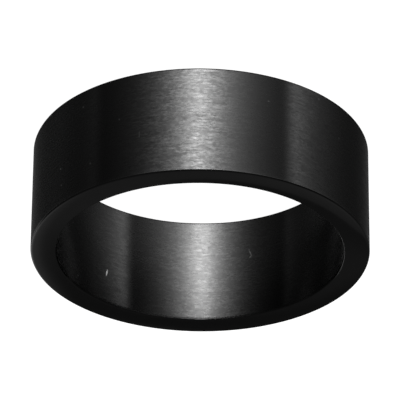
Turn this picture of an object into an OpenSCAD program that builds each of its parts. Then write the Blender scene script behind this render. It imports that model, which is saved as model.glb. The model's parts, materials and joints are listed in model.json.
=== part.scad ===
// Flat band ring: a plain hoop of one thickness, with flat walls and flat faces.
// It lies on one of its faces. The finger goes in along Z.
// The origin is on the surface that the ring lies on, at the middle of the hoop.

/* [Size] */
// Inside diameter, the finger hole at its narrowest
bore_d = 20; // [14:0.1:24]
// Width of the band, measured along the finger
band_w = 8; // [3:0.5:12]
// Thickness of the metal between the finger hole and the outer wall
wall_t = 1.8; // [1.2:0.1:3]

/* [Edges] */
// Break on the two inner and the two outer edges, so that none is sharp: its width on the face
break_w = 0.05; // [0.05:0.05:0.4]
// The same break's height along the wall
break_h = 0.1; // [0.05:0.05:0.4]

/* [Colour] */
// Colour of the blackened metal
metal_colour = "#1c1c1e"; // ["#1c1c1e":Black, "#8a8c90":Steel, "#c9a45c":Gold]

/* [Hidden] */
bore_r = bore_d / 2;
outer_r = bore_r + wall_t;
$fn = 180;

// Half section of the hoop in the XY plane: X is the radius, Y the height above the surface.
module band_section() {
    polygon([
        [bore_r + break_w, 0],
        [outer_r - break_w, 0],
        [outer_r, break_h],
        [outer_r, band_w - break_h],
        [outer_r - break_w, band_w],
        [bore_r + break_w, band_w],
        [bore_r, band_w - break_h],
        [bore_r, break_h]
    ]);
}

// The whole ring is one turned piece.
module band() {
    color(metal_colour) rotate_extrude() band_section();
}

band();
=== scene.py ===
"""The looks of a black band ring that lies on one of its faces, on a pale studio floor.

The ring's walls are brushed round the hoop, and its two faces and its edges are polished.
Everything is in metres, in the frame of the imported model: the ring's axis is Z and the floor is Z = 0.
The camera stands on the side of -Y and is rolled by a half turn, so +X is to the picture's left.
"""
import json
import math
from collections import namedtuple

import bpy
from mathutils import Matrix, Vector


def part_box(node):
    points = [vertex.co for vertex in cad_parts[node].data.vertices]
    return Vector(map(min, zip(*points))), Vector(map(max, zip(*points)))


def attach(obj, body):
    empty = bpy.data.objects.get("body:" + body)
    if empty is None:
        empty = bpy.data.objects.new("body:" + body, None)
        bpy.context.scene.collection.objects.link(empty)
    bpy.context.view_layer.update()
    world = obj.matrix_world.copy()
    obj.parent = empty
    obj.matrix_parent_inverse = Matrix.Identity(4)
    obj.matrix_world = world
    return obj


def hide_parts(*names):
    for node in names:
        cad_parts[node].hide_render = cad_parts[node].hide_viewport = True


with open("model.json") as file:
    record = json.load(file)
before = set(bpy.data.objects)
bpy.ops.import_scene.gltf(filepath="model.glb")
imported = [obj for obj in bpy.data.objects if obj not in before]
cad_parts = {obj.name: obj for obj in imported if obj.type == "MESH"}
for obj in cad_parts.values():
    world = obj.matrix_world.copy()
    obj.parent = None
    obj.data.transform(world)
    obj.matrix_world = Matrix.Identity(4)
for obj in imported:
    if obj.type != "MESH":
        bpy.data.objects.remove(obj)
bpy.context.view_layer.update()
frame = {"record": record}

MM = 0.001

# Sizes of the ring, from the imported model. Only the width of the edges' break isn't stated there.
BORE = next(m for m in frame["record"]["mounts"] if m["name"] == "finger_bore")
OUTER_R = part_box("band")[1].x
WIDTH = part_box("band")[1].z
BORE_R = BORE["dims"]["r_mm"] * MM
BREAK_HEIGHT = (WIDTH - BORE["dims"]["length_mm"] * MM) / 2
BREAK_WIDTH = 0.05 * MM

# How finely the ring's mesh is cut, and how round its corners are
SEGMENTS = 360
WALL_ROWS = 8
FACE_ROWS = 2
ROUND_STEPS = 3
ROUNDING = 0.055 * MM

# A normal of the section counts as upright if it rises by more than the first number. A strip of the mesh
# is a flat wall if the normals at its two ends together rise by less than the second.
UPRIGHT = 0.95
LEVEL = 0.01

# The gap between the strips of the ring's flat layout, and the slots of its two materials
LAYOUT_GAP = 0.3 * MM
WALL_SLOT = 0
FACE_SLOT = 1

# The camera that the photo was taken with, as fitted to the ring's edges, and where the ring's middle lies
# in the picture
IMAGE_SIZE = 400
FOCAL_PIXELS = 3762.0
SENSOR_WIDTH = 36
CAMERA_DISTANCE = 263.6 * MM
CAMERA_ELEVATION = math.radians(29.21)
CAMERA_ROLL = math.radians(180.51)
RING_PIXEL = (200.49, 204.07)

# The share of light that the blackened metal gives back, and the roughness of the brushed walls. The
# brushing's grain makes the metal brighter and less rough by these amounts, for a grain of 1.
METAL_GREY = 0.040
WALL_ROUGHNESS = 0.28
GRAIN_BRIGHTER = 0.14
GRAIN_SMOOTHER = 0.31

# The highlight of brushed metal spreads at a quarter turn from the brushing
QUARTER_TURN = 0.25

# The brushing: dashes along the hoop, in thin rows. Three kinds make its grain, each with its weight, and
# the last kind tilts the surface along the hoop. The row spread sets the patterns of the rows apart.
Dashes = namedtuple("Dashes", "length height seed weight")
GRAIN_DASHES = [
    Dashes(length=0.22 * MM, height=0.10 * MM, seed=0.3, weight=0.5),
    Dashes(length=0.55 * MM, height=0.12 * MM, seed=0.7, weight=0.4),
    Dashes(length=1.80 * MM, height=0.15 * MM, seed=0.1, weight=0.25),
]
TILT_DASHES = Dashes(length=0.40 * MM, height=0.10 * MM, seed=0.5, weight=0.006)
ROW_SPREAD = 7.31

# Patches of weaker and stronger brushing: their size and detail, the span of their noise, and the strength
# at its ends
PATCH_SIZE = (1.4 * MM, 1.4 * MM, 1.0 * MM)
PATCH_DETAIL = 1.0
PATCH_SPAN = (0.35, 0.65)
PATCH_STRENGTH = (0.8, 1.2)

# How strong the brushing is: full at the front of the outer wall, and weaker at its sides and inside. The
# pairs are directions in degrees, between which the front starts and ends. From the last pair on, in the
# bright streak at the right, the brushing is stronger by a factor.
FRONT_START = (-36, -10)
FRONT_END = (0, 14)
STREAK_START = (22, 34)
SIDE_BRUSHING = 0.4
STREAK_FACTOR = 1.9
INNER_BRUSHING = 0.5

# Painted highlight and shade: each wall's metal is painted brighter at its foot than at its upper end, and
# the inner wall brighter than the outer one. The inner wall's first value reaches up to a share of the ring's
# width.
OUTER_PAINTED_HIGHLIGHT = (1.10, 0.86)
INNER_PAINTED_HIGHLIGHT = (1.25, 0.9)
INNER_PAINTED_HIGHLIGHT_START = 0.3

# Where a surface rolls off towards an edge: how far before it that starts and ends, and how far the
# surface's normal leans over in the end
RollOff = namedtuple("RollOff", "start end lean")
INNER_WALL_TOP = RollOff(start=0.30 * MM, end=0.10 * MM, lean=0.4)
OUTER_WALL_TOP = RollOff(start=0.40 * MM, end=0.10 * MM, lean=0.06)
FACE_GENTLE = RollOff(start=1.53 * MM, end=0, lean=0.036)
FACE_STEEP = RollOff(start=0.25 * MM, end=0.04 * MM, lean=0.032)

# The slight haze of the polished metal: the size and detail of its clouds, and its tones and roughness
# from end to end
HAZE_SIZE = 0.9 * MM
HAZE_DETAIL = 4.0
HAZE_TONES = (0.9, 1.1)
HAZE_ROUGHNESS = (0.04, 0.07)

# Small marks in the brushed walls: the direction of each one's middle in degrees, its height, its length
# and its width in millimetres, how much brighter it is, at 1 twice as bright as the wall, and how far it
# leans to the right from the finger's direction in degrees. A mark fades between two shares of its half
# size.
Mark = namedtuple("Mark", "inside direction height length width brighter lean", defaults=[0])
MARK_FADE = (0.5, 1.2)
MARKS = [
    # The short bright dash inside
    Mark(True, 221.8, 5.55, 0.62, 0.12, brighter=16.0, lean=12),
    # The three strokes of the small curl inside
    Mark(True, 159.2, 2.55, 0.24, 0.10, brighter=1.5, lean=-10),
    Mark(True, 158.6, 2.84, 0.48, 0.10, brighter=3.0, lean=-22),
    Mark(True, 158.6, 3.12, 0.28, 0.10, brighter=2.5, lean=44),
    # The faint nick on the outer wall
    Mark(False, -20.7, 4.82, 0.55, 0.10, brighter=1.0),
    # Specks on the outer wall
    Mark(False, -54.2, 5.21, 0.16, 0.14, brighter=9.0),
    Mark(False, -53.6, 6.52, 0.14, 0.14, brighter=5.0),
    Mark(False, -39.4, 6.01, 0.14, 0.12, brighter=2.4),
    Mark(False, -43.2, 1.29, 0.14, 0.12, brighter=4.0),
    Mark(False, -28.1, 3.29, 0.14, 0.12, brighter=2.4),
    Mark(False, 22.7, 2.04, 0.14, 0.14, brighter=1.8),
    Mark(False, 43.0, 0.50, 0.14, 0.16, brighter=1.5),
    Mark(False, 53.2, 2.68, 0.14, 0.14, brighter=2.0),
    Mark(False, 69.0, 7.69, 0.14, 0.16, brighter=4.0),
    # Specks inside
    Mark(True, 244.8, 3.21, 0.14, 0.14, brighter=4.0),
    Mark(True, 267.5, 6.68, 0.14, 0.16, brighter=4.0),
    Mark(True, 239.6, 7.06, 0.14, 0.14, brighter=8.0),
]

# The floor far from the ring, in metres: it is flat up to a radius, then bends up and ends in a wall
FLOOR_FLAT_R = 1.2
FLOOR_BEND_R = 0.4
FLOOR_TOP = 2.0

# How finely the floor's bend is cut, and the circles of the floor and the card
FLOOR_BEND_STEPS = 12
CIRCLE_SIDES = 96

# The floor's paint, its glow, and the lamp above it
FLOOR_PAINT = 0.2
FLOOR_GLOW = 0.92
LAMP_SIZE = 1.2
LAMP_POWER = 8.0
LAMP_HEIGHT = 0.9

# The dark round card behind the ring. Its edge shows in the face, to the picture's right. Its glow rises
# between two heights, and falls a little between two more.
CARD_BEHIND = 60 * MM
CARD_MIDDLE = (0.3 * MM, 17.7 * MM)
CARD_R = 31.0 * MM
CARD_GLOW_LOW = 0.05
CARD_GLOW_MIDDLE = 0.09
CARD_GLOW_TOP = 0.068
CARD_GLOW_RISE = (33 * MM, 39 * MM)
CARD_GLOW_FALL = (40 * MM, 43 * MM)

# To the picture's left of the ring's middle the card fades out between two distances, but for a level
# band, which starts and ends between pairs of heights and fades out further to the left. Only a share of
# the glow's rise and fall is left there.
CARD_FADE = (0.0 * MM, 4.5 * MM)
CARD_LEFT_SHARE = 0.3
BAND_BOTTOM = (27 * MM, 31 * MM)
BAND_TOP = (39.5 * MM, 44.5 * MM)
BAND_FADE = (11 * MM, 16 * MM)

# The lights of the studio that the metal mirrors. Directions round the ring are in degrees from the
# camera's side, to the picture's right above zero, and heights in degrees above the ring's level. A light
# is brightest at its middle, where it is rounded, and fades over its reach. It stands between the heights
# low and high, with soft ends. Where it has an edge, it starts at the direction "start" and reaches its
# full strength "edge" degrees on, which is to the left where edge is below zero. Where one wall mirrors it
# in another wall, its strength is multiplied by "twice".
LIGHT_COLUMNS = "strength middle rounding reach low high soft start edge twice"
Light = namedtuple("Light", LIGHT_COLUMNS, defaults=[0, 0, 1.0])
LIGHTS = [
    # On the camera's side: the bright light, its narrow core, and a faint wide glow beside it
    Light(26.0, middle=-1.1, rounding=16.5, reach=7.9, low=-36, high=-18, soft=5, twice=0.25),
    Light(12.0, middle=-2, rounding=36.5, reach=0.8, low=-36, high=-18, soft=5, twice=0.25),
    Light(0.3, middle=28, rounding=12, reach=31, low=-36, high=-18, soft=5),
    # To the right and to the left, each with an edge on the camera's side
    Light(3.75, middle=66, rounding=3, reach=11, low=-36, high=-18, soft=5, start=57.5, edge=7, twice=0.8),
    Light(0.3, middle=-75, rounding=1, reach=10, low=-36, high=-18, soft=5, start=-72, edge=-3, twice=3.0),
    # To the left, a little higher
    Light(0.26, middle=-54, rounding=20, reach=12, low=-20, high=-5, soft=5),
    # Behind the ring: two low ones, and one above its level, which shows in the inner edge
    Light(0.44, middle=178, rounding=1, reach=12, low=-36, high=10, soft=5, twice=1.5),
    Light(0.14, middle=-160, rounding=10, reach=12, low=-20, high=4, soft=5, twice=1.5),
    Light(1.4, middle=-148, rounding=8, reach=4, low=4, high=14, soft=4, twice=0.1),
    # To the left and further back
    Light(0.76, middle=-108, rounding=25, reach=16, low=-15, high=-5, soft=4, start=-55, edge=-40, twice=2.6),
    Light(0.045, middle=-111, rounding=10, reach=6, low=-36, high=-24, soft=5, twice=0.0),
    # To the right, a little higher
    Light(3.0, middle=24, rounding=12, reach=19, low=-16, high=4, soft=4),
    Light(0.9, middle=84, rounding=10, reach=15, low=-16, high=-7, soft=3),
    # High up behind the ring: they show in the upper face
    Light(2.9, middle=-170, rounding=26, reach=3, low=14, high=33, soft=2, start=-177, edge=14),
    Light(0.12, middle=172, rounding=3, reach=3, low=31, high=60, soft=2),
]

# The dim glow of the rest of the room, and what it is where one wall mirrors it in another wall
DIM_ROOM = 0.012
DIM_ROOM_TWICE = 0.16

# The glow from above, and the heights in degrees between which it rises to its full strength
CEILING = 0.118
CEILING_RISE = (-17, 34)


# Short calls for nodes, meshes and objects

class Graph:
    """Short calls that build the nodes of one material or world. Inputs are values, or sockets to link."""

    def __init__(self, tree):
        self.tree = tree
        self.tree.nodes.clear()

    def node(self, kind, settings=None, inputs=None):
        """A new node of a kind, with its settings and its inputs."""
        made = self.tree.nodes.new(kind)
        for name, value in (settings or {}).items():
            setattr(made, name, value)
        for name, value in (inputs or {}).items():
            self.feed(made.inputs[name], value)
        return made

    def feed(self, socket, value):
        """Links a socket to another one, or gives it a value."""
        if isinstance(value, bpy.types.NodeSocket):
            self.tree.links.new(value, socket)
        else:
            socket.default_value = value

    def coordinates(self, kind="Object"):
        """The place that is shaded. In a world, the kind Generated is the direction looked in."""
        return self.node("ShaderNodeTexCoord").outputs[kind]

    def math(self, operation, *values):
        """The result of an operation on numbers."""
        inputs = dict(enumerate(values))
        return self.node("ShaderNodeMath", {"operation": operation}, inputs).outputs["Value"]

    def vector_math(self, operation, *values):
        """The result of an operation on vectors."""
        inputs = dict(enumerate(values))
        return self.node("ShaderNodeVectorMath", {"operation": operation}, inputs).outputs["Vector"]

    def times(self, vector, amount):
        """A vector times a number."""
        inputs = {0: vector, "Scale": amount}
        return self.node("ShaderNodeVectorMath", {"operation": "SCALE"}, inputs).outputs["Vector"]

    def length(self, vector):
        """How long a vector is."""
        return self.node("ShaderNodeVectorMath", {"operation": "LENGTH"}, {0: vector}).outputs["Value"]

    def parts(self, vector):
        """The X, Y and Z of a vector."""
        return self.node("ShaderNodeSeparateXYZ", inputs={"Vector": vector}).outputs

    def joined(self, x, y, z):
        """The vector with an X, a Y and a Z."""
        return self.node("ShaderNodeCombineXYZ", inputs={"X": x, "Y": y, "Z": z}).outputs["Vector"]

    def smooth(self, value, low, high, start=0.0, end=1.0):
        """Turns value, as it goes from low to high, into a smooth step from start to end."""
        settings = {"interpolation_type": "SMOOTHSTEP"}
        inputs = {"Value": value, "From Min": low, "From Max": high, "To Min": start, "To Max": end}
        return self.node("ShaderNodeMapRange", settings, inputs).outputs["Result"]

    def scaled(self, value, start, end):
        """Turns value, as it goes from 0 to 1, into a straight line from start to end."""
        inputs = {"Value": value, "To Min": start, "To Max": end}
        return self.node("ShaderNodeMapRange", {"clamp": False}, inputs).outputs["Result"]

    def noise(self, coordinates, cell, detail):
        """Noise whose grains measure cell, a size along X, Y and Z."""
        stretch = Vector([1 / size for size in cell])
        mapping = self.node("ShaderNodeMapping", inputs={"Vector": coordinates, "Scale": stretch})
        inputs = {"Vector": mapping.outputs["Vector"], "Scale": 1.0, "Detail": detail, "Roughness": 0.5}
        return self.node("ShaderNodeTexNoise", inputs=inputs).outputs["Fac"]

    def glow(self, strength):
        """The shader of a surface that gives off white light."""
        inputs = {"Color": (1, 1, 1, 1), "Strength": strength}
        return self.node("ShaderNodeEmission", inputs=inputs).outputs["Emission"]

    def surface(self, shader, kind="ShaderNodeOutputMaterial"):
        """Makes a shader the one of the material, or of the world with its own kind of output."""
        self.node(kind, inputs={"Surface": shader})


def new_material(name):
    """A new material and the graph of its nodes."""
    material = bpy.data.materials.new(name)
    material.use_nodes = True
    return material, Graph(material.node_tree)


def new_mesh(name, points, faces, materials):
    """A new smooth mesh with some materials."""
    mesh = bpy.data.meshes.new(name)
    mesh.from_pydata(points, [], faces)
    mesh.polygons.foreach_set("use_smooth", [True] * len(faces))
    for material in materials:
        mesh.materials.append(material)
    return mesh


def add_object(name, data):
    """A new object in the scene: a mesh, a camera or a lamp."""
    made = bpy.data.objects.new(name, data)
    bpy.context.scene.collection.objects.link(made)
    return made


def around(count):
    """Even steps round a circle, each as its cosine and its sine."""
    angles = [2 * math.pi * step / count for step in range(count)]
    return [(math.cos(angle), math.sin(angle)) for angle in angles]


# The shape of the ring

def section_corners():
    """The corners of the ring's half section, going round it: each one's radius and height."""
    inner = BORE_R + BREAK_WIDTH
    outer = OUTER_R - BREAK_WIDTH
    top = WIDTH - BREAK_HEIGHT
    return [
        (inner, 0),
        (outer, 0),
        (OUTER_R, BREAK_HEIGHT),
        (OUTER_R, top),
        (outer, WIDTH),
        (inner, WIDTH),
        (BORE_R, top),
        (BORE_R, BREAK_HEIGHT),
    ]


def outward(direction):
    """The way out of the section, square to a direction along its outline."""
    return Vector((direction.y, -direction.x))


def rounded_corner(before, corner, after):
    """Points and normals of the arc that rounds one corner of the section."""
    come = (corner - before).normalized()
    leave = (after - corner).normalized()
    turn = come.angle_signed(leave)
    middle = corner - come * ROUNDING * math.tan(abs(turn) / 2) - outward(come) * ROUNDING
    points = []
    for step in range(ROUND_STEPS + 1):
        lean = Matrix.Rotation(-turn * step / ROUND_STEPS, 2)
        normal = lean @ outward(come)
        points.append((middle + normal * ROUNDING, normal))
    return points


def rows_across(span):
    """How many rows a straight stretch of the section is cut into: most on a wall, and one on a break."""
    if span > WIDTH / 2:
        return WALL_ROWS
    if span > WIDTH / 8:
        return FACE_ROWS
    return 1


def section():
    """The ring's half section: a list of (point, normal), with rounded corners and rows between them."""
    corners = [Vector(corner) for corner in section_corners()]
    count = len(corners)
    arcs = []
    for i, corner in enumerate(corners):
        arcs.append(rounded_corner(corners[i - 1], corner, corners[(i + 1) % count]))
    outline = []
    for i, arc in enumerate(arcs):
        outline += arc
        here, normal = arc[-1]
        there = arcs[(i + 1) % count][0][0]
        rows = rows_across((there - here).length)
        outline += [(here.lerp(there, row / rows), normal) for row in range(1, rows)]
    return outline


def turned_points(outline):
    """The points and normals of the outline at every step round the ring."""
    points = []
    normals = []
    for x, y in around(SEGMENTS):
        way = Vector((x, y, 0))
        for point, normal in outline:
            points.append(way * point.x + Vector((0, 0, point.y)))
            normals.append(way * normal.x + Vector((0, 0, normal.y)))
    return points, normals


def turned_faces(outline):
    """The faces between the steps, and the material slot of each one."""
    rows = len(outline)
    faces = []
    slots = []
    for step in range(SEGMENTS):
        here = step * rows
        there = (step + 1) % SEGMENTS * rows
        for row in range(rows):
            up = (row + 1) % rows
            faces.append((here + row, there + row, there + up, here + up))
            rise = abs(outline[row][1].y) + abs(outline[up][1].y)
            slots.append(WALL_SLOT if rise < LEVEL else FACE_SLOT)
    return faces, slots


def facing(normal):
    """Which of the ring's four sides a part of the section belongs to, by its normal."""
    if abs(normal.y) > UPRIGHT:
        return "upper" if normal.y > 0 else "lower"
    return "outer" if normal.x > 0 else "inner"


# One row of faces in the outline, and the distances along its side of the ring where it starts and ends
Row = namedtuple("Row", "number start end")


def side_rows(outline):
    """The rows of the outline on each of the four sides."""
    count = len(outline)
    sides = [facing((outline[i][1] + outline[(i + 1) % count][1]).normalized()) for i in range(count)]
    first = next(i for i in range(count) if sides[i] != sides[i - 1])
    rows = {}
    for i in range(first, first + count):
        number = i % count
        span = (outline[(number + 1) % count][0] - outline[number][0]).length
        done = rows.setdefault(sides[number], [])
        start = done[-1].end if done else 0.0
        done.append(Row(number, start, start + span))
    return rows


def lay_out(mesh, outline):
    """A flat layout of the surface at one scale: each side in four strips, with two strips in a line."""
    quarter = SEGMENTS // 4
    places = {}
    base = LAYOUT_GAP
    for side, rows in side_rows(outline).items():
        radius = BORE_R if side == "inner" else OUTER_R
        segment = radius * math.pi / 2 / quarter
        line = rows[-1].end + LAYOUT_GAP
        for row in rows:
            places[row.number] = (segment, base, line, row)
        base += 2 * line
    width = 2 * (OUTER_R * math.pi / 2 + LAYOUT_GAP) + LAYOUT_GAP
    scale = 1 / max(base, width)
    flat = []
    for step in range(SEGMENTS):
        strip, along = divmod(step, quarter)
        left = LAYOUT_GAP + strip % 2 * (width - LAYOUT_GAP) / 2
        for number in range(len(outline)):
            segment, base, line, row = places[number]
            up = base + strip // 2 * line
            corners = [(along, row.start), (along + 1, row.start), (along + 1, row.end), (along, row.end)]
            for across, height in corners:
                flat += [(left + across * segment) * scale, (up + height) * scale]
    mesh.uv_layers.new(name="OFBake").data.foreach_set("uv", flat)


def build_band(wall_material, face_material):
    """The ring as a fine turned mesh, with exact normals. Walls and faces have their own material."""
    outline = section()
    points, normals = turned_points(outline)
    faces, slots = turned_faces(outline)
    mesh = new_mesh("brushed_band", points, faces, [wall_material, face_material])
    mesh.polygons.foreach_set("material_index", slots)
    lay_out(mesh, outline)
    mesh.normals_split_custom_set_from_vertices(normals)
    mesh.validate()
    band = add_object("brushed_band", mesh)
    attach(band, "root")
    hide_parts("band")


# The ring's two materials

def from_axis(graph, place):
    """The way from the ring's axis to a place."""
    return graph.vector_math("MULTIPLY", place, (1, 1, 0))


def direction_of(graph, parts):
    """The direction round the ring in degrees from the camera's side, to the picture's right above zero."""
    right = graph.math("MULTIPLY", parts["X"], -1.0)
    front = graph.math("MULTIPLY", parts["Y"], -1.0)
    return graph.math("DEGREES", graph.math("ARCTAN2", right, front))


def wrapped(graph, direction, start):
    """The turn from a start to a direction, from -180 to 180 degrees."""
    return graph.math("WRAP", graph.math("SUBTRACT", direction, start), 180.0, -180.0)


def inner_wall(graph, place):
    """1 on the inner wall, 0 on the outer one."""
    return graph.math("LESS_THAN", graph.length(from_axis(graph, place)), (BORE_R + OUTER_R) / 2)


def by_wall(graph, inside, inner, outer):
    """One value on the inner wall, and another on the outer one."""
    mix = graph.node("ShaderNodeMix", {"data_type": "FLOAT"}, {"Factor": inside, "A": outer, "B": inner})
    return mix.outputs["Result"]


def leaning(graph, leans):
    """The surface's normal, leaning by some amount in each of some directions."""
    total = graph.node("ShaderNodeNewGeometry").outputs["Normal"]
    for direction, amount in leans:
        total = graph.vector_math("ADD", total, graph.times(direction, amount))
    return graph.vector_math("NORMALIZE", total)


def rolled(graph, value, edge, roll_off):
    """How far the surface leans over, as a value nears the one at an edge."""
    return graph.smooth(value, edge - roll_off.start, edge - roll_off.end, 0.0, roll_off.lean)


def black_metal(graph, tone, roughness, normal, brushed_along=None):
    """Blackened metal of a tone. Where it is brushed, its highlights spread across the brushing."""
    colour = graph.times((METAL_GREY, METAL_GREY, METAL_GREY), tone)
    inputs = {"Base Color": colour, "Metallic": 1.0, "Roughness": roughness, "Normal": normal}
    if brushed_along is not None:
        inputs.update({"Anisotropic": 1.0, "Anisotropic Rotation": QUARTER_TURN, "Tangent": brushed_along})
    graph.surface(graph.node("ShaderNodeBsdfPrincipled", inputs=inputs).outputs["BSDF"])


def dashes(graph, parts, kind):
    """Straight dashes along the hoop, from -0.5 to 0.5. They lie in thin rows, each with its own pattern."""
    row = graph.math("FLOOR", graph.math("MULTIPLY_ADD", parts["Z"], 1 / kind.height, kind.seed))
    spread = graph.math("MULTIPLY_ADD", row, ROW_SPREAD, kind.seed)
    place = graph.joined(parts["X"], parts["Y"], spread)
    return graph.math("SUBTRACT", graph.noise(place, (kind.length, kind.length, 1.0), detail=0.0), 0.5)


def grain_of(graph, parts):
    """The grain of the brushing, up and down from 0: dashes of three kinds, each times its weight."""
    total = 0.0
    for kind in GRAIN_DASHES:
        total = graph.math("MULTIPLY_ADD", dashes(graph, parts, kind), kind.weight, total)
    return total


def brushing(graph, place, direction, inside):
    """How strong the brushing is at a place."""
    start = graph.smooth(direction, *FRONT_START, SIDE_BRUSHING, 1.0)
    end = graph.smooth(direction, *FRONT_END, 1.0, SIDE_BRUSHING)
    streak = graph.smooth(direction, *STREAK_START, 1.0, STREAK_FACTOR)
    outer = graph.math("MULTIPLY", graph.math("MULTIPLY", start, end), streak)
    patches = graph.smooth(graph.noise(place, PATCH_SIZE, PATCH_DETAIL), *PATCH_SPAN, *PATCH_STRENGTH)
    return graph.math("MULTIPLY", patches, by_wall(graph, inside, INNER_BRUSHING, outer))


def mark_spot(graph, direction, height, mark):
    """How much brighter one mark makes a place: nothing outside the mark."""
    radius = BORE_R if mark.inside else OUTER_R
    turn = wrapped(graph, direction, mark.direction)
    across = graph.math("MULTIPLY", turn, math.radians(1) * radius)
    up = graph.math("SUBTRACT", height, mark.height * MM)
    size = Vector((mark.width, mark.length, 1.0)) * MM / 2
    lean = Vector((0, 0, -math.radians(mark.lean)))
    inputs = {"Vector": graph.joined(across, up, 0.0), "Scale": size, "Rotation": lean}
    local = graph.node("ShaderNodeMapping", {"vector_type": "TEXTURE"}, inputs).outputs["Vector"]
    return graph.smooth(graph.length(local), *MARK_FADE, mark.brighter, 0.0)


def small_marks(graph, direction, height, inside):
    """How bright the small marks make the walls: 1 where there is none."""
    outside = graph.math("SUBTRACT", 1.0, inside)
    total = 1.0
    for mark in MARKS:
        wall = inside if mark.inside else outside
        total = graph.math("MULTIPLY_ADD", mark_spot(graph, direction, height, mark), wall, total)
    return total


def wall_painted_highlight(graph, height, inside):
    """Painted highlight and shade on each wall by height: brighter towards the foot, and more so on the inner
    wall.
    """
    outer = graph.smooth(height, 0.0, WIDTH, *OUTER_PAINTED_HIGHLIGHT)
    inner = graph.smooth(height, INNER_PAINTED_HIGHLIGHT_START * WIDTH, WIDTH, *INNER_PAINTED_HIGHLIGHT)
    return by_wall(graph, inside, inner, outer)


def wall_top(graph, height, inside):
    """How far each wall leans up where it ends at the upper face."""
    inner = rolled(graph, height, WIDTH, INNER_WALL_TOP)
    outer = rolled(graph, height, WIDTH, OUTER_WALL_TOP)
    return by_wall(graph, inside, inner, outer)


def brushed_black():
    """Black metal brushed round the hoop: fine dashes along it, and a highlight that spreads across them."""
    material, graph = new_material("brushed_black")
    place = graph.coordinates()
    parts = graph.parts(place)
    height = parts["Z"]
    direction = direction_of(graph, parts)
    inside = inner_wall(graph, place)
    strength = brushing(graph, place, direction, inside)
    grain = graph.math("MULTIPLY", grain_of(graph, parts), strength)
    shade = graph.math("MULTIPLY_ADD", grain, GRAIN_BRIGHTER, small_marks(graph, direction, height, inside))
    # The tone carries each wall's painted highlight and shade: brighter towards the foot, and brighter
    # inside.
    tone = graph.math("MULTIPLY", shade, wall_painted_highlight(graph, height, inside))
    roughness = graph.scaled(grain, WALL_ROUGHNESS, WALL_ROUGHNESS - GRAIN_SMOOTHER)
    along = graph.node("ShaderNodeTangent", {"direction_type": "RADIAL", "axis": "Z"}).outputs["Tangent"]
    tilt = graph.math("MULTIPLY", dashes(graph, parts, TILT_DASHES), strength)
    tilt = graph.math("MULTIPLY", tilt, TILT_DASHES.weight)
    normal = leaning(graph, [(along, tilt), ((0, 0, 1), wall_top(graph, height, inside))])
    black_metal(graph, tone, roughness, normal, brushed_along=along)
    return material


def polished_black():
    """Black metal polished to a mirror, with a slight haze. Near the outer rim it rolls off a little."""
    material, graph = new_material("polished_black")
    place = graph.coordinates()
    haze = graph.noise(place, (HAZE_SIZE, HAZE_SIZE, HAZE_SIZE), HAZE_DETAIL)
    way = from_axis(graph, place)
    radius = graph.length(way)
    gentle = rolled(graph, radius, OUTER_R, FACE_GENTLE)
    steep = rolled(graph, radius, OUTER_R, FACE_STEEP)
    away = graph.vector_math("NORMALIZE", way)
    normal = leaning(graph, [(away, graph.math("ADD", gentle, steep))])
    black_metal(graph, graph.scaled(haze, *HAZE_TONES), graph.scaled(haze, *HAZE_ROUGHNESS), normal)
    return material


# The camera, the floor and its lamp

def place_camera():
    """The photo's camera, raised above the floor by a half turn about its own line of sight."""
    data = bpy.data.cameras.new("camera")
    data.sensor_width = SENSOR_WIDTH
    data.lens = FOCAL_PIXELS / IMAGE_SIZE * data.sensor_width
    data.clip_start = CAMERA_DISTANCE / 10
    data.clip_end = CAMERA_DISTANCE * 100
    camera = add_object("camera", data)
    middle = Vector((0, 0, WIDTH / 2))
    back = Vector((0, -math.cos(CAMERA_ELEVATION), math.sin(CAMERA_ELEVATION)))
    turn = (-back).to_track_quat("-Z", "Y").to_matrix().to_4x4() @ Matrix.Rotation(CAMERA_ROLL, 4, "Z")
    per_pixel = CAMERA_DISTANCE / FOCAL_PIXELS
    aside = (RING_PIXEL[0] - IMAGE_SIZE / 2) * per_pixel
    above = (IMAGE_SIZE / 2 - RING_PIXEL[1]) * per_pixel
    camera.matrix_world = Matrix.Translation(middle + back * CAMERA_DISTANCE) @ turn
    camera.location += turn.to_3x3() @ Vector((-aside, -above, 0))
    bpy.context.scene.camera = camera


def floor_outline():
    """The floor's half section, from the rim of its flat disc outwards: each point's radius and height."""
    outline = [(FLOOR_FLAT_R, 0.0)]
    for step in range(1, FLOOR_BEND_STEPS + 1):
        angle = math.pi / 2 * step / FLOOR_BEND_STEPS
        radius = FLOOR_FLAT_R + FLOOR_BEND_R * math.sin(angle)
        outline.append((radius, FLOOR_BEND_R * (1 - math.cos(angle))))
    outline.append((FLOOR_FLAT_R + FLOOR_BEND_R, FLOOR_TOP))
    return outline


def pale_floor():
    """The floor's material: pale paint that glows like a light table."""
    material, graph = new_material("pale_floor")
    colour = (FLOOR_PAINT, FLOOR_PAINT, FLOOR_PAINT, 1)
    paint = graph.node("ShaderNodeBsdfDiffuse", inputs={"Color": colour}).outputs["BSDF"]
    both = graph.node("ShaderNodeAddShader", inputs={0: paint, 1: graph.glow(FLOOR_GLOW)})
    graph.surface(both.outputs["Shader"])
    return material


def build_floor():
    """A pale floor that curves up far from the ring. The metal doesn't mirror it."""
    sides = CIRCLE_SIDES
    outline = floor_outline()
    points = [(0.0, 0.0, 0.0)]
    for radius, height in outline:
        points += [(radius * x, radius * y, height) for x, y in around(sides)]
    faces = [(0, 1 + side, 1 + (side + 1) % sides) for side in range(sides)]
    for ring in range(len(outline) - 1):
        here = 1 + ring * sides
        there = here + sides
        for side in range(sides):
            following = (side + 1) % sides
            faces.append((here + side, there + side, there + following, here + following))
    floor = add_object("floor", new_mesh("floor", points, faces, [pale_floor()]))
    floor.visible_glossy = False
    floor.visible_shadow = False


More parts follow.
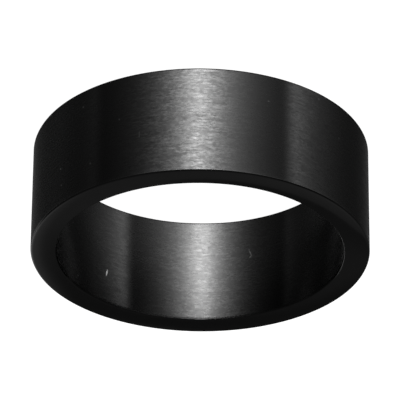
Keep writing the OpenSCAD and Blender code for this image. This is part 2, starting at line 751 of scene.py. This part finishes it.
def light_floor():
    """A wide soft lamp above the floor, for the floor alone."""
    data = bpy.data.lights.new("floor_light", "AREA")
    data.shape = "DISK"
    data.size = LAMP_SIZE
    data.energy = LAMP_POWER
    lamp = add_object("floor_light", data)
    lamp.location = (0, 0, LAMP_HEIGHT)
    lamp.visible_glossy = False
    lamp.visible_camera = False


# The dark card

def card_glow(graph, parts):
    """How bright the card is by height."""
    rise = graph.smooth(parts["Z"], *CARD_GLOW_RISE, 0.0, CARD_GLOW_MIDDLE - CARD_GLOW_LOW)
    fall = graph.smooth(parts["Z"], *CARD_GLOW_FALL, 0.0, CARD_GLOW_MIDDLE - CARD_GLOW_TOP)
    share = graph.smooth(parts["X"], *CARD_FADE, 1.0, CARD_LEFT_SHARE)
    return graph.math("MULTIPLY_ADD", graph.math("SUBTRACT", rise, fall), share, CARD_GLOW_LOW)


def card_left_out(graph, parts):
    """1 where the card is left out: to the picture's left, but for the level band."""
    band = graph.smooth(parts["X"], *BAND_FADE, 1.0, 0.0)
    band = graph.math("MULTIPLY", band, graph.smooth(parts["Z"], *BAND_BOTTOM))
    band = graph.math("MULTIPLY", band, graph.smooth(parts["Z"], *BAND_TOP, 1.0, 0.0))
    return graph.math("MULTIPLY", graph.smooth(parts["X"], *CARD_FADE), graph.math("SUBTRACT", 1.0, band))


def dark_card():
    """The card's material: a dim glow, clear where the card is left out."""
    material, graph = new_material("dark_card")
    parts = graph.parts(graph.coordinates())
    glow = graph.glow(card_glow(graph, parts))
    clear = graph.node("ShaderNodeBsdfTransparent").outputs["BSDF"]
    inputs = {"Fac": card_left_out(graph, parts), 1: glow, 2: clear}
    graph.surface(graph.node("ShaderNodeMixShader", inputs=inputs).outputs["Shader"])
    return material


def build_card():
    """The dark card that only the metal mirrors."""
    points = []
    for x, y in around(CIRCLE_SIDES):
        points.append((CARD_MIDDLE[0] + CARD_R * x, CARD_BEHIND, CARD_MIDDLE[1] + CARD_R * y))
    card = add_object("card", new_mesh("card", points, [list(range(CIRCLE_SIDES))], [dark_card()]))
    card.visible_camera = False
    card.visible_diffuse = False
    card.visible_shadow = False


# The studio

def fading(graph, away, light):
    """How bright a light is, a number of degrees away from its middle: rounded there, then fading out."""
    square = graph.math("MULTIPLY", away, away)
    rounded = graph.math("SQRT", graph.math("ADD", square, light.rounding ** 2))
    steps = graph.math("DIVIDE", graph.math("SUBTRACT", light.rounding, rounded), light.reach)
    return graph.math("MULTIPLY", graph.math("EXPONENT", steps), light.strength)


def edge_step(graph, direction, light):
    """The soft step with which a light starts: towards the right, or the left if its edge is below 0."""
    turn = wrapped(graph, direction, light.start)
    if light.edge > 0:
        return graph.smooth(turn, 0.0, light.edge)
    return graph.smooth(turn, light.edge, 0.0, 1.0, 0.0)


def between_heights(graph, height, light):
    """1 between the heights of a light, 0 outside them, with soft ends."""
    bottom = graph.smooth(height, light.low - light.soft, light.low + light.soft)
    top = graph.smooth(height, light.high - light.soft, light.high + light.soft, 1.0, 0.0)
    return graph.math("MULTIPLY", bottom, top)


def light_shine(graph, direction, height, twice, light):
    """How bright one light is in a direction and at a height."""
    shine = fading(graph, wrapped(graph, direction, light.middle), light)
    if light.edge:
        shine = graph.math("MULTIPLY", shine, edge_step(graph, direction, light))
    shine = graph.math("MULTIPLY", shine, between_heights(graph, height, light))
    if light.twice != 1.0:
        shine = graph.math("MULTIPLY", shine, graph.scaled(twice, 1.0, light.twice))
    return shine


def mirrored_twice(graph):
    """1 where one wall mirrors the studio in another wall, 0 elsewhere."""
    # A ray that is followed on from the metal is glossy, and counts one step more than its mirrorings
    path = graph.node("ShaderNodeLightPath").outputs
    mirrorings = graph.math("SUBTRACT", path["Ray Depth"], path["Is Glossy Ray"])
    return graph.math("GREATER_THAN", mirrorings, 1.5)


def light_world():
    """The dim studio that the metal mirrors, with soft lights that stand round the ring."""
    world = bpy.data.worlds.new("studio")
    world.use_nodes = True
    graph = Graph(world.node_tree)
    parts = graph.parts(graph.coordinates("Generated"))
    direction = direction_of(graph, parts)
    height = graph.math("DEGREES", graph.math("ARCSINE", parts["Z"]))
    twice = mirrored_twice(graph)
    total = graph.smooth(height, *CEILING_RISE, 0.0, CEILING)
    total = graph.math("ADD", total, graph.scaled(twice, DIM_ROOM, DIM_ROOM_TWICE))
    for light in LIGHTS:
        total = graph.math("ADD", total, light_shine(graph, direction, height, twice, light))
    background = graph.node("ShaderNodeBackground", inputs={"Color": (1, 1, 1, 1), "Strength": total})
    graph.surface(background.outputs["Background"], "ShaderNodeOutputWorld")
    bpy.context.scene.world = world
    world.cycles_visibility.diffuse = False


def set_colour_view():
    """The plain colour view, which shows light as it is."""
    view = bpy.context.scene.view_settings
    view.view_transform = "Standard"
    view.look = "None"
    view.exposure = 0
    view.gamma = 1


place_camera()
build_band(brushed_black(), polished_black())
build_floor()
build_card()
light_floor()
light_world()
set_colour_view()
